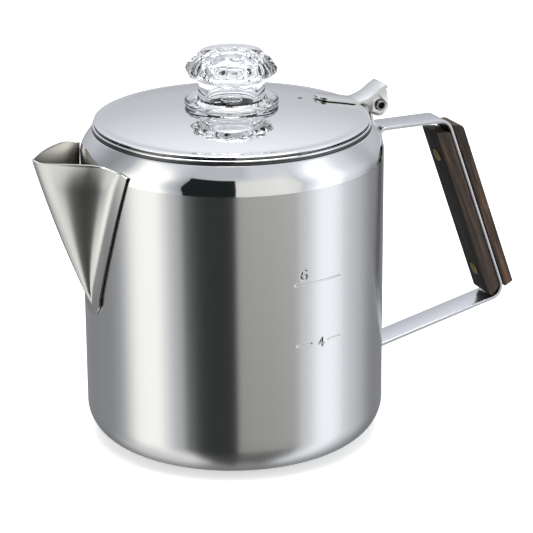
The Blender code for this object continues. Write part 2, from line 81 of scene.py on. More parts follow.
LID_R, LID_TOP = 54.4, 135.1
LID_FLAT_R, LID_SAG = 10.0, 0.0030
LID_EDGE_Z, LID_SKIRT_R, LID_SKIRT_Z = 129.2, 52.6, 121.5
LID_HOLE_R, VENT_X, VENT_R = 11.9, 29.6, 1.0
KNOB_H, KNOB_CAVITY_R, FLUTES = 21.9, 9.3, 12

TUBE_R, TUBE_BORE, TUBE_TOP = 4.4, 3.6, 137.3
FOOT_R, FOOT_H = 29.0, 12.0
COLLAR_Z = 77.6
BASKET_R, BASKET_LOW, BASKET_TOP, BASKET_T = 37.5, 81.0, 116.6, 0.9
SPREADER_Z = 117.0


# ---------------------------------------------------------------- mesh helpers

def arc(cx, cz, rx, rz, a0, a1, n):
    """Points on an ellipse from angle a0 to a1 in degrees, both ends kept."""
    turn = np.radians(np.linspace(a0, a1, n + 1))
    return [(cx + rx * math.cos(a), cz + rz * math.sin(a)) for a in turn]


def curve(points, n=6):
    """A smooth line through the points, n steps from each to the next."""
    p = np.array([points[0], *points, points[-1]], float)
    out = []
    for i in range(1, len(p) - 2):
        a, b, c, d = p[i - 1], p[i], p[i + 1], p[i + 2]
        for t in np.arange(n) / n:
            q = 0.5 * (2 * b + (c - a) * t + (2 * a - 5 * b + 4 * c - d) * t ** 2
                       + (3 * b - a - 3 * c + d) * t ** 3)
            out.append(tuple(q))
    return out + [tuple(p[-1])]


def rounded(points, radii, n=14):
    """An open polyline with its inner corners replaced by arcs."""
    out = [points[0]]
    for i in range(1, len(points) - 1):
        p, a, b = Vector(points[i]), Vector(points[i - 1]), Vector(points[i + 1])
        r = radii[i - 1]
        u, v = (a - p).normalized(), (b - p).normalized()
        half = math.acos(max(-1.0, min(1.0, u.dot(v)))) / 2
        centre = p + (u + v).normalized() * (r / math.sin(half))
        start = p + u * (r / math.tan(half)) - centre
        end = p + v * (r / math.tan(half)) - centre
        a0 = math.atan2(start.y, start.x)
        turn = math.atan2(start.x * end.y - start.y * end.x, start.dot(end))
        for k in range(n + 1):
            t = a0 + turn * k / n
            out.append((centre.x + r * math.cos(t), centre.y + r * math.sin(t)))
    return out + [points[-1]]


def soften(marks, width):
    """A function of one number: straight lines between the marks, then blurred."""
    t, v = zip(*marks)
    xs = np.linspace(t[0], t[-1], 400)
    step = xs[1] - xs[0]
    reach = int(3 * width / step) + 1
    kernel = np.exp(-0.5 * (np.arange(-reach, reach + 1) * step / width) ** 2)
    kernel /= kernel.sum()
    line = np.interp(xs, t, v)
    first, last = line[1] - line[0], line[-1] - line[-2]
    padded = np.concatenate([line[0] + first * np.arange(-reach, 0), line,
                             line[-1] + last * np.arange(1, reach + 1)])
    smooth_line = np.convolve(padded, kernel, mode="valid")
    return lambda q: float(np.interp(q, xs, smooth_line))


def link(name, mesh):
    ob = bpy.data.objects.new(name, mesh)
    bpy.context.scene.collection.objects.link(ob)
    return ob


def make_object(name, verts, faces, materials, picks=None):
    """picks gives each face's material."""
    mesh = bpy.data.meshes.new(name)
    mesh.from_pydata([tuple(v) for v in verts], [], faces)
    for mat in materials:
        mesh.materials.append(mat)
    if picks is not None:
        mesh.polygons.foreach_set("material_index", picks)
    return link(name, mesh)


def face_out(ob):
    bm = bmesh.new()
    bm.from_mesh(ob.data)
    bmesh.ops.recalc_face_normals(bm, faces=bm.faces)
    bm.to_mesh(ob.data)
    bm.free()


def settle(ob):
    """Applies the object's modifiers."""
    graph = bpy.context.evaluated_depsgraph_get()
    mesh = bpy.data.meshes.new_from_object(ob.evaluated_get(graph))
    old = ob.data
    ob.modifiers.clear()
    ob.data = mesh
    bpy.data.meshes.remove(old)
    mesh.name = ob.name
    return ob


def grid_faces(rows, columns):
    """Quads of a grid whose vertices run along each row."""
    i = np.arange(rows - 1)[:, None] * columns + np.arange(columns - 1)[None]
    i = i.ravel()
    return np.stack([i, i + 1, i + columns + 1, i + columns], 1).tolist()


def turned(name, profile, materials, steps=128, closed=True, angles=None, slots=None, shape=None):
    """(radius, height) points turned about Z; slots gives each segment's material.

    shape(points, angles) may move the finished rings, an array of rings x steps x 3.
    """
    profile = [tuple(p) for p in profile]
    r, z = np.array(profile).T
    area = np.dot(r, np.roll(z, -1)) - np.dot(z, np.roll(r, -1))
    slots = list(slots) if slots is not None else [0] * len(profile)
    if area < 0:            # the profile runs anticlockwise, so that faces point outwards
        last = len(profile) - 1
        slots = slots[:last][::-1] + slots[last:]
        profile = profile[::-1]
        r, z = np.array(profile).T
    if angles is None:
        angles = np.arange(steps) * 2 * math.pi / steps
    n = len(angles)
    points = np.zeros((len(profile), n, 3))
    points[:, :, 0] = r[:, None] * np.cos(angles)
    points[:, :, 1] = r[:, None] * np.sin(angles)
    points[:, :, 2] = z[:, None]
    if shape is not None:
        points = shape(points, angles)
    verts, rings = [], []
    for k, row in enumerate(points):
        if r[k] < 1e-6:
            rings.append([len(verts)] * n)
            verts.append(row[0] * MM)
        else:
            rings.append(list(range(len(verts), len(verts) + n)))
            verts.extend(row * MM)
    faces, picks = [], []
    pairs = list(zip(rings, rings[1:]))
    if closed:
        pairs.append((rings[-1], rings[0]))
    for k, (a, b) in enumerate(pairs):
        for i in range(n):
            j = (i + 1) % n
            corners = list(dict.fromkeys((a[i], a[j], b[j], b[i])))
            if len(corners) > 2:
                faces.append(corners)
                picks.append(slots[k])
    return make_object(name, verts, faces, materials, picks)


def thicken(ob, thickness, far_side=0):
    """Thickens a sheet both ways; far_side is the material slot of its other side."""
    mod = ob.modifiers.new("Thickness", "SOLIDIFY")
    mod.thickness = thickness * MM
    mod.offset = 0.0
    mod.material_offset = far_side
    mod.use_even_offset = True


def strip(name, path, widths, thickness, material):
    """A bent strip: an (x, z) path widened along Y and thickened both ways."""
    verts = [(x * MM, s * w / 2 * MM, z * MM)
             for (x, z), w in zip(path, widths) for s in (-1, 1)]
    faces = [(2 * i, 2 * i + 1, 2 * i + 3, 2 * i + 2) for i in range(len(path) - 1)]
    ob = make_object(name, verts, faces, [material])
    thicken(ob, thickness)
    return ob


def slab(name, outline, width, material, y=0.0):
    """A flat (x, z) outline given a width along Y, centred on y."""
    n = len(outline)
    verts = [(x * MM, (y + s * width / 2) * MM, z * MM)
             for s in (-1, 1) for x, z in outline]
    faces = [list(range(n)), list(range(2 * n - 1, n - 1, -1))]
    faces += [(i, (i + 1) % n, n + (i + 1) % n, n + i) for i in range(n)]
    ob = make_object(name, verts, faces, [material])
    face_out(ob)
    return ob


def bevel(ob, width, segments, angle):
    """Rounds the edges that turn by more than the angle."""
    mod = ob.modifiers.new("Edges", "BEVEL")
    mod.width = width * MM
    mod.segments = segments
    mod.limit_method = "ANGLE"
    mod.angle_limit = math.radians(angle)


def rods(name, shapes):
    """Separate cylinders in one object, as cutters: (centre, axis, radius, length, sides)."""
    mesh = bpy.data.meshes.new(name)
    bm = bmesh.new()
    for centre, axis, radius, length, sides in shapes:
        turn = Vector(axis).to_track_quat("Z", "Y").to_matrix().to_4x4()
        bmesh.ops.create_cone(
            bm, cap_ends=True, cap_tris=False, segments=sides, radius1=radius * MM,
            radius2=radius * MM, depth=length * MM,
            matrix=Matrix.Translation(Vector(centre) * MM) @ turn)
    bm.to_mesh(mesh)
    bm.free()
    return link(name, mesh)


def brick(name, centre, size, material=None, turn=0.0, chamfer=0.0):
    """A block turned about Z, in degrees."""
    mesh = bpy.data.meshes.new(name)
    bm = bmesh.new()
    bmesh.ops.create_cube(bm, size=1.0, matrix=Matrix.Translation(Vector(centre) * MM)
                          @ Matrix.Rotation(math.radians(turn), 4, "Z")
                          @ Matrix.Diagonal((*(Vector(size) * MM), 1.0)))
    if chamfer:
        bmesh.ops.bevel(bm, geom=bm.edges[:], offset=chamfer * MM, segments=2,
                        affect="EDGES", profile=0.5)
    bm.to_mesh(mesh)
    bm.free()
    if material:
        mesh.materials.append(material)
    return link(name, mesh)


def combine(ob, other, operation="DIFFERENCE"):
    """Cuts the other object away, or joins it on, and removes it."""
    mod = ob.modifiers.new(operation.title(), "BOOLEAN")
    mod.operation = operation
    mod.solver = "EXACT"
    mod.object = other
    settle(ob)
    bpy.data.objects.remove(other, do_unlink=True)
    return ob


def place(ob, body, slot, *nodes, angle=35.0):
    """Shades the finished piece and rides it on its body in place of its CAD nodes."""
    ob.data.shade_smooth()
    ob.data.set_sharp_from_angle(angle=math.radians(angle))
    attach(ob, body)
    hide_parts(*nodes)


# ---------------------------------------------------------------- materials

class Tree:
    """Short forms for building a node tree."""

    def __init__(self, tree):
        self.tree = tree

    def node(self, kind, inputs=None, **settings):
        """A new node; an input is a value or the socket that feeds it."""
        node = self.tree.nodes.new(kind)
        for key, value in settings.items():
            setattr(node, key, value)
        for key, value in (inputs or {}).items():
            if isinstance(value, bpy.types.NodeSocket):
                self.feed(value, node, key)
            else:
                node.inputs[key].default_value = value
        return node

    def feed(self, socket, node, key):
        self.tree.links.new(socket, node.inputs[key])

    def math(self, operation, a, b=0.0, c=0.0):
        node = self.node("ShaderNodeMath", {0: a, 1: b, 2: c}, operation=operation)
        return node.outputs[0]

    def step(self, value, low, high, to_low=0.0, to_high=1.0):
        node = self.node("ShaderNodeMapRange",
                         {"Value": value, 1: low, 2: high, 3: to_low, 4: to_high},
                         interpolation_type="SMOOTHSTEP")
        return node.outputs[0]

    def scale(self, vector, x, y, z):
        node = self.node("ShaderNodeMapping", {"Vector": vector, "Scale": (x, y, z)})
        return node.outputs[0]

    def noise(self, vector, scale=1.0, detail=3.0, distortion=0.0, rough=0.5):
        node = self.node("ShaderNodeTexNoise", {"Vector": vector, "Scale": scale, "Detail": detail,
                                                "Distortion": distortion, "Roughness": rough})
        return node.outputs[0]

    def ramp(self, value, stops):
        node = self.node("ShaderNodeValToRGB", {0: value})
        ramp = node.color_ramp
        while len(ramp.elements) < len(stops):
            ramp.elements.new(1.0)
        for element, (at, colour) in zip(ramp.elements, stops):
            element.position = at
            element.color = (*colour, 1.0)
        return node.outputs[0]

    def mix(self, amount, a, b, blend="MIX"):
        node = self.node("ShaderNodeMix", {0: amount}, data_type="RGBA", blend_type=blend)
        for key, value in ((6, a), (7, b)):
            if isinstance(value, bpy.types.NodeSocket):
                self.feed(value, node, key)
            else:
                node.inputs[key].default_value = (*value, 1.0)
        return node.outputs[2]

    def bump(self, height, strength, distance):
        node = self.node("ShaderNodeBump",
                         {"Height": height, "Strength": strength, "Distance": distance})
        return node.outputs[0]


def surface(name):
    """A new material, its node tree, its shader and the object's coordinates."""
    mat = bpy.data.materials.new(name)
    mat.use_nodes = True
    tree = Tree(mat.node_tree)
    shader = mat.node_tree.nodes["Principled BSDF"]
    where = tree.node("ShaderNodeTexCoord").outputs["Object"]
    return mat, tree, shader, where


BRUSH_SCALES = {"around": (14.0, 14.0, 2600.0), "x": (24.0, 2600.0, 2600.0),
                "z": (2600.0, 2600.0, 20.0)}


def metal(name, colour, rough, clouds, lines, streak, aniso=0.0, along="around"):
    """Brushed or polished metal. along is the way the brush lines run.

    The roughness varies by lines with the brush lines and by clouds in large patches;
    streak is how much the lines change the colour.
    """
    mat, tree, shader, where = surface(name)
    shader.inputs["Metallic"].default_value = 1.0
    lined = tree.noise(tree.scale(where, *BRUSH_SCALES[along]), 1.0, 2.0)
    cloudy = tree.noise(where, 38.0, 3.0)
    level = tree.math("ADD", tree.math("MULTIPLY", lined, lines),
                      tree.math("MULTIPLY", cloudy, clouds))
    level = tree.math("ADD", level, rough - 0.5 * (lines + clouds))
    tree.feed(level, shader, "Roughness")
    dark = tuple(c * (1.0 - streak) for c in colour)
    light = tuple(min(1.0, c * (1.0 + streak)) for c in colour)
    tree.feed(tree.mix(lined, dark, light), shader, "Base Color")
    if aniso:
        shader.inputs["Anisotropic"].default_value = aniso
        shader.inputs["Anisotropic Rotation"].default_value = 0.25
        tangent = tree.node("ShaderNodeTangent", direction_type="RADIAL", axis="Z")
        tree.feed(tangent.outputs[0], shader, "Tangent")
    return mat


def wood(name, shade, shift):
    """Dark walnut with its grain down the slanted grip; shift picks another piece of it."""
    mat, tree, shader, where = surface(name)
    lean = math.atan2(GRIP_LOW[0] - GRIP_TOP[0], GRIP_TOP[1] - GRIP_LOW[1])
    upright = tree.node("ShaderNodeVectorRotate", {"Vector": where, "Angle": lean},
                        rotation_type="Y_AXIS").outputs[0]
    shifted = tree.node("ShaderNodeVectorMath", {0: upright, 1: (shift, shift * 0.7, 0.0)},
                        operation="ADD").outputs[0]
    figure = tree.noise(tree.scale(shifted, 330.0, 260.0, 17.0), 1.0, 5.0, 1.2, 0.62)
    bands = tree.noise(tree.scale(shifted, 900.0, 700.0, 40.0), 1.0, 4.0, 0.6, 0.6)
    pores = tree.noise(tree.scale(shifted, 3000.0, 3000.0, 130.0), 1.0, 2.0)
    colour = tree.ramp(figure, [
        (0.30, (0.012, 0.009, 0.007)), (0.44, (0.036, 0.025, 0.018)),
        (0.56, (0.070, 0.042, 0.026)), (0.68, (0.190, 0.082, 0.034))])
    colour = tree.mix(tree.step(bands, 0.38, 0.62, 0.0, 0.6), colour, (0.030, 0.023, 0.017))
    pitted = tree.step(pores, 0.60, 0.70)
    colour = tree.mix(tree.math("MULTIPLY", pitted, 0.75), colour, (0.008, 0.005, 0.004))
    colour = tree.mix(1.0, colour, (shade,) * 3, "MULTIPLY")
    tree.feed(colour, shader, "Base Color")
    tree.feed(tree.step(figure, 0.3, 0.7, 0.66, 0.52), shader, "Roughness")
    shader.inputs["Specular IOR Level"].default_value = 0.3
    height = tree.math("SUBTRACT", tree.math("MULTIPLY", bands, 0.4), pitted)
    tree.feed(tree.bump(height, 0.7, 0.12 * MM), shader, "Normal")
    return mat


def clear_plastic(name):
    mat, tree, shader, where = surface(name)
    shader.inputs["Base Color"].default_value = (0.985, 0.99, 0.992, 1.0)
    shader.inputs["Transmission Weight"].default_value = 1.0
    shader.inputs["IOR"].default_value = 1.49
    scuffs = tree.noise(tree.scale(where, 120.0, 120.0, 900.0), 1.0, 3.0)
    tree.feed(tree.step(scuffs, 0.55, 0.75, 0.0, 0.035), shader, "Roughness")
    return mat


# Metals by name, colour, roughness, clouds, lines and streak.
SATIN = metal("satin_steel", (0.66, 0.66, 0.655), 0.25, 0.01, 0.012, 0.012, aniso=0.97)
INNER = metal("inner_steel", (0.60, 0.60, 0.585), 0.24, 0.03, 0.05, 0.03, aniso=0.4)
POLISHED = metal("polished_steel", (0.81, 0.815, 0.82), 0.05, 0.015, 0.01, 0.006)
SPOUT = metal("spout_steel", (0.60, 0.595, 0.57), 0.22, 0.02, 0.04, 0.03, along="z")
# Painted shade: the spout's inner side, the same sheet as outside, darkened where shade falls
# inside it.
SPOUT_IN_SHADE = metal("spout_inside_painted_shade", (0.25, 0.24, 0.21), 0.36, 0.02, 0.04, 0.03, along="z")
STRAP = metal("strap_steel", (0.63, 0.635, 0.66), 0.22, 0.02, 0.04, 0.015, along="x")
HINGE = metal("hinge_steel", (0.74, 0.74, 0.735), 0.24, 0.03, 0.03, 0.02, along="x")
PIN = metal("pin_steel", (0.30, 0.30, 0.305), 0.30, 0.03, 0.03, 0.02, along="x")
# Painted shade: near-black steel for the groove under the rolled rim, where shade falls.
GROOVE_SHADE = metal("groove_painted_shade", (0.14, 0.14, 0.14), 0.40, 0.03, 0.03, 0.02)
PUMP = metal("pump_metal", (0.72, 0.72, 0.73), 0.24, 0.03, 0.05, 0.03, aniso=0.3)
BRASS = metal("brass", (0.26, 0.17, 0.04), 0.24, 0.08, 0.06, 0.08)
WOOD_IN = wood("walnut_inner", 1.0, 0.0)
WOOD_OUT = wood("walnut_outer", 1.0, 0.37)
# Painted shade: walnut darkened to about a fifth, for the inner grip's face towards the pot.
WOOD_PAINTED_SHADE = wood("walnut_painted_shade", 0.22, 0.81)
CLEAR = clear_plastic("clear_plastic")


# ---------------------------------------------------------------- pot

def shoulder(offset):
    """The turned-in upper wall as (radius, height), from the wall to the rim."""
    pts = [(60.0, 117.6), (59.75, 119.1), (59.2, 120.5), (58.4, 121.9),
           (57.4, 123.4), (56.4, 124.8), (55.5, 126.0)]
    return [(r - offset, z - offset * 0.45) for r, z in curve(pts, 5)]


LEVELS = (54.1, 78.8)       # heights of the two level marks
MARK_DEPTH = 0.42
LINE_HALF, STROKE_HALF = 0.62, 0.42     # half widths of the lines and of the numerals
ROW_PITCH, TURN_PITCH = 0.22, 0.21      # mesh over the marks, in millimetres and degrees

# The numerals' outlines, in units of their own width.
SIX = [(0.85, 1.28), (0.6, 1.4), (0.3, 1.28), (0.1, 0.92), (0.05, 0.45), (0.2, 0.1), (0.5, 0.0),
       (0.8, 0.1), (0.95, 0.4), (0.8, 0.7), (0.5, 0.8), (0.2, 0.7), (0.06, 0.5)]
FOUR = [(0.72, 0.0), (0.72, 1.4), (0.0, 0.42), (1.0, 0.42)]


def mark_strokes():
    """Level lines and numerals as (points, half width), in (arc length, height)."""
    deg = POT_R * math.pi / 180
    low, high = LEVELS

    def level(left, right, height):
        return [(left * deg, height), (right * deg, height)], LINE_HALF

    def numeral(shape, left, foot, width):
        return [(left * deg + x * width, foot + z * width) for x, z in shape], STROKE_HALF

    return [level(-90.0, -70.3, high),
            numeral(SIX, -88.0, high + 1.7, 2.7),
            level(-89.3, -83.8, low),
            level(-75.7, -70.2, low),
            numeral(FOUR, -80.4, low - 2.0, 2.4)]


def pressed(points, angles):
    """Presses the level marks into the outer wall."""
    degrees = np.degrees(angles)
    degrees = np.where(degrees > 180, degrees - 360, degrees)
    radius = np.hypot(points[:, :, 0], points[:, :, 1])
    s = np.radians(degrees)[None, :] * POT_R * np.ones_like(radius)
    z = points[:, :, 2]
    near = (radius > POT_R - 0.01) & (s < math.radians(-65) * POT_R) & (z > 45) & (z < 90)
    depth = np.zeros_like(radius)
    for line, half in mark_strokes():
        for (s0, z0), (s1, z1) in zip(line, line[1:]):
            ds, dz = s1 - s0, z1 - z0
            t = np.clip(((s - s0) * ds + (z - z0) * dz) / (ds * ds + dz * dz), 0, 1)
            away = np.hypot(s - s0 - t * ds, z - z0 - t * dz)
            k = np.clip(1 - away / half, 0, 1)
            depth = np.maximum(depth, MARK_DEPTH * k * k * (3 - 2 * k))
    scale = np.where(near, (radius - depth) / np.maximum(radius, 1e-9), 1.0)
    points[:, :, 0] *= scale
    points[:, :, 1] *= scale
    return points


def strainer_holes():
    """A triangle of holes in the wall behind the spout, widening upwards."""
    pitch, low, rise, size = 5.6, 78.0, 6.4, 1.6
    holes = []
    for row in range(6):
        half, shift = 1 + row // 2, 0.5 if row % 2 else 0.0
        for k in range(-half, half + 1):
            if shift and k == half:
                continue
            a = math.radians(180.0 + (k + shift) * pitch)
            d = (math.cos(a), math.sin(a), 0.0)
            holes.append(((d[0] * POT_R, d[1] * POT_R, low + row * rise), d, size, 6.0, 20))
    return holes


def make_pot():
    inner = POT_R - POT_WALL
    low, high = LEVELS
    heights = np.concatenate([
        np.linspace(POT_CORNER, low - 3.2, 12), np.arange(low - 3.0, low + 3.2, ROW_PITCH),
        np.linspace(low + 3.6, high - 1.4, 8), np.arange(high - 1.2, high + 6.4, ROW_PITCH),
        np.linspace(high + 7, SATIN_TOP, 12)])
    outer = [(r, 0.0) for r in (0.0, 15.0, 30.0, 42.0)]
    outer += arc(POT_R - POT_CORNER, POT_CORNER, POT_CORNER, POT_CORNER, -90, 0, 20)[:-1]
    satin = len(outer) + len(heights) - 1
    outer += [(POT_R, z) for z in heights] + [(POT_R, WALL_TOP)] + shoulder(0.0)
    groove = len(outer)
    outer += [(55.15, 126.35), (54.5, 126.45), (54.3, 126.65), (54.25, 127.1)]
    bead = len(outer)
    outer += arc(RIM_R, RIM_Z, RIM_BEAD + 0.3, RIM_BEAD, -80, 215, 22)
    inside = shoulder(POT_WALL)[::-1]
    inside += [(inner, z) for z in np.linspace(114, POT_CORNER + 4, 14)]
    inside += arc(POT_R - POT_CORNER, POT_CORNER, inner - POT_R + POT_CORNER,
                  POT_CORNER - POT_WALL, 0, -90, 12)
    inside += [(r, POT_WALL) for r in (42.0, 30.0, 15.0, 0.0)]
    # Satin wall, polished shoulder, painted shade in the groove under the rim, polished rim,
    # inside.
    slots = ([0] * satin + [1] * (groove - satin) + [3] * (bead - groove)
             + [1] * (len(outer) - bead) + [2] * len(inside))
    # Fine steps across the level marks, coarse ones round the rest.
    fine = np.radians(np.arange(-91.4, -68.6, TURN_PITCH))
    coarse = np.radians(np.arange(-68.4, 268.5, 2.0))
    pot = turned("pot", outer + inside, [SATIN, POLISHED, INNER, GROOVE_SHADE], closed=False,
                 angles=np.concatenate([fine, coarse]), slots=slots, shape=pressed)
    return combine(pot, rods("strainer_cut", strainer_holes()))


place(make_pot(), "pot", "satin_steel", "pot_body")


# ---------------------------------------------------------------- spout

FLANGE_LOW_HALF = 8.2
FILLET_FROM, FILLET_TO = 0.74, 1.50     # the soft fold either side of the crease
# Half the flange's width at each height, and the rim's height along the section below.
FLANGE_HALF = soften([(FLANGE_ROUND_Z, FLANGE_LOW_HALF), (90.0, 17.0), (117.5, 26.2),
                      (127.0, 29.0)], 3.0)
RIM_HEIGHT = soften([(0.0, SPOUT_TIP_Z), (0.06, 122.6), (0.12, 122.3), (0.20, 122.2), (0.33, 122.5),
                     (0.46, 122.9), (0.60, 123.1), (0.78, 123.1), (0.87, 122.8), (0.96, 122.3),
                     (1.08, 121.5), (1.20, 120.8), (1.35, 120.3), (1.7, 119.7), (2.0, 119.2)], 0.03)


def flange_half(z):
    """Half the width of the spout's outline on the pot, at height z."""
    if z < FLANGE_ROUND_Z:
        t = (FLANGE_ROUND_Z - z) / (FLANGE_ROUND_Z - SPOUT_LOW_Z)
        return FLANGE_LOW_HALF * math.sqrt(max(0.0, 1.0 - 0.93 * t * t))
    return FLANGE_HALF(z)


def spout_section(z, qs):
    """Middle of the sheet on the -Y side at height z, as (x, y).

    qs run from 0 on the nose through 1 on the crease to 2 on the flange's edge.
    """
    on_pot = POT_R + GAP + SPOUT_T / 2
    full = flange_half(z)
    climb = (z - KEEL_Z) / (SPOUT_TIP_Z - KEEL_Z)
    flare = np.clip((z - 112.0) / 10.5, 0.0, 1.0) ** 2
    crease = max(CREASE_TOP * climb + 2.2 * flare, full * 0.25)
    belly = 4.4 * max(0.0, climb * (1.0 - climb))
    nose = max(-(KEEL_X + (SPOUT_TIP_X - KEEL_X) * climb) + belly, on_pot)
    foot = math.sqrt(on_pot ** 2 - crease ** 2)
    body = np.minimum(qs, 1.0)
    half = np.where(qs < 1.0, crease * qs, crease + (full - crease) * (qs - 1.0))
    bend, blunt = 1.0 - 0.25 * climb ** 2, 0.0009
    fall = (body ** 2 + blunt) ** bend - blunt ** bend
    out = np.where(qs < 1.0, nose - (nose - foot) * fall, np.sqrt(on_pot ** 2 - half * half))
    return np.stack([-out, -half], -1)


def make_spout():
    # Close together on the nose and across the crease, and at both ends of the height.
    side = np.concatenate([np.linspace(0, 1, 26)[:-1] ** 1.5 * 0.5,
                           np.linspace(0.5, 1.4, 36)[:-1], np.linspace(1.4, 2.0, 8)])
    rows = np.sin(np.linspace(-0.5, 0.5, 76) * math.pi) * 0.5 + 0.5
    rim = np.array([RIM_HEIGHT(q) for q in side])
    near = np.zeros((len(rows), len(side), 3))
    for i, v in enumerate(rows):
        for j, q in enumerate(side):
            z = SPOUT_LOW_Z + (rim[j] - SPOUT_LOW_Z) * v
            here, a, b, c = spout_section(z, np.array([q, FILLET_FROM, 1.0, FILLET_TO]))
            if FILLET_FROM < q < FILLET_TO:
                t = (q - FILLET_FROM) / (FILLET_TO - FILLET_FROM)
                here = (1 - t) ** 2 * a + 2 * t * (1 - t) * b + t ** 2 * c
            near[i, j] = (*here, z)
    near[:, 0, 1] = 0.0
    far = near[:, :0:-1] * (1, -1, 1)
    grid = np.concatenate([far, near], 1)
    ob = make_object("spout_shell", grid.reshape(-1, 3) * MM, grid_faces(*grid.shape[:2]),
                     [SPOUT, SPOUT_IN_SHADE])
    # The inner side takes the darker steel, painted shade.
    thicken(ob, SPOUT_T, far_side=1)
    return settle(ob)


place(make_spout(), "pot", "spout_steel", "spout", angle=40)


# ---------------------------------------------------------------- handle

def slant():
    """Unit vectors down the grip and out of it, in (x, z)."""
    down = Vector((GRIP_LOW[0] - GRIP_TOP[0], GRIP_LOW[1] - GRIP_TOP[1])).normalized()
    return down, Vector((-down.y, down.x))


def slanted(height, offset):
    """Point at a height on the line parallel to the grip at an offset."""
    down, out = slant()
    base = Vector(GRIP_TOP) + out * offset
    t = (base.y - height) / -down.y
    return (base.x + down.x * t, height)


def across_grip(offset, radius, length, sides):
    """A rod for each rivet, square to the grip, centred at an offset from the strap."""
    out = slant()[1]
    middles = [Vector(slanted(z, 0.0)) + out * offset for z in RIVET_HEIGHTS]
    return [((p.x, 0.0, p.y), (out.x, 0.0, out.y), radius, length, sides) for p in middles]


def make_strap():
    tab_x = POT_R + 3 * GAP + BRACKET_T + STRAP_T / 2 - 0.3
    foot_x = POT_R + 2 * GAP + STRAP_T / 2
    corners = [(tab_x, TAB_LOW_Z), (tab_x, STRAP_TOP_Z), GRIP_TOP, GRIP_LOW,
               (foot_x, 24.4), (foot_x, 37.0)]
    path = rounded(corners, [2.5, 6.0, 5.0, 2.0])
    strap = strip("strap", path, [STRAP_W] * len(path), STRAP_T, STRAP)
    settle(strap)
    combine(strap, rods("strap_cut", across_grip(0.0, RIVET_R + GAP, 8.0, 24)))
    bevel(strap, 0.35, 3, 50.0)
    return settle(strap)


def make_grips():
    near, far, deep = STRAP_T / 2 + GAP, GRIP_OUT, -GRIP_IN
    top_far = slanted(112.9, far)
    outline = [slanted(42.2, near), slanted(44.2, far), top_far]
    outline += arc(top_far[0] - 3.5, 112.9, 3.3, 3.3, 20, 90, 10)
    outline += [slanted(116.2, near)]
    outer = slab("grip_half_outer", outline, GRIP_W, WOOD_OUT)
    outline = [slanted(113.4, -near), slanted(113.9, deep), slanted(40.2, deep),
               slanted(38.9, deep + 1.4), slanted(43.0, -near)]
    inner = slab("grip_half_inner", outline, GRIP_W, WOOD_IN)
    for ob, face_at in ((outer, far), (inner, deep)):
        bevel(ob, 0.55, 3, 30.0)
        settle(ob)
        combine(ob, rods("grip_cut", across_grip(0.0, RIVET_R + GAP, 30.0, 24)))
        combine(ob, rods("seat_cut", across_grip(face_at, RIVET_HEAD_R + 0.3, 0.7, 40)))
    # Painted shade: faces of the inner half turned towards the pot take the darkened walnut.
    inner.data.materials.append(WOOD_PAINTED_SHADE)
    out = slant()[1]
    for face in inner.data.polygons:
        if face.normal.dot(Vector((-out.x, 0.0, -out.y))) > 0.75:
            face.material_index = 1
    return inner, outer


def make_rivet(name, height):
    """A rivet with a low dome at each end, through both halves of the grip."""
    head, top, low = RIVET_HEAD_R - 0.2, GRIP_OUT, -GRIP_IN
    cap = arc(0, 0, head, 0.43, 0, 90, 8)
    half = [(RIVET_R, 0.0), (head - 0.1, 0.0)] + [(r, 0.12 + z) for r, z in cap]
    half[-1] = (0.0, half[-1][1])
    profile = [(r, low - z) for r, z in half[::-1]] + [(r, top + z) for r, z in half]
    ob = turned(name, profile, [BRASS], 48, closed=False)
    (x, z), out = slanted(height, 0.0), slant()[1]
    spin = Vector((out.x, 0.0, out.y)).to_track_quat("Z", "Y").to_matrix().to_4x4()
    ob.data.transform(Matrix.Translation(Vector((x, 0.0, z)) * MM) @ spin)
    return ob


place(make_strap(), "pot", "strap_steel", "handle_strap", angle=30)
inner_half, outer_half = make_grips()
place(inner_half, "pot", "wood", "grip_inner", angle=30)
place(outer_half, "pot", "wood", "grip_outer", angle=30)
place(make_rivet("rivet_upper", RIVET_HEIGHTS[0]), "pot", "brass", "grip_rivet_upper")
place(make_rivet("rivet_lower", RIVET_HEIGHTS[1]), "pot", "brass", "grip_rivet_lower")


# ---------------------------------------------------------------- hinge

def dome(r):
    """Height of the lid's top surface at a radius."""
    return LID_TOP - LID_SAG * max(0.0, r - LID_FLAT_R) ** 2


def make_bracket():
    x = POT_R + GAP + BRACKET_T / 2
    r = PIN_R + GAP + BRACKET_T / 2
    rise = curve([(x, 112.0), (x, 118.4), (60.3, 121.4), (59.8, 124.2), (PIN_X - r, 126.9)], 6)
    path = [(x, TAB_LOW_Z)] + rise + arc(PIN_X, PIN_Z, r, r, 180, -95, 40)
    ob = strip("hinge_strip", path, [BRACKET_W] * len(path), BRACKET_T, HINGE)
    bevel(ob, 0.25, 2, 50.0)
    return settle(ob)


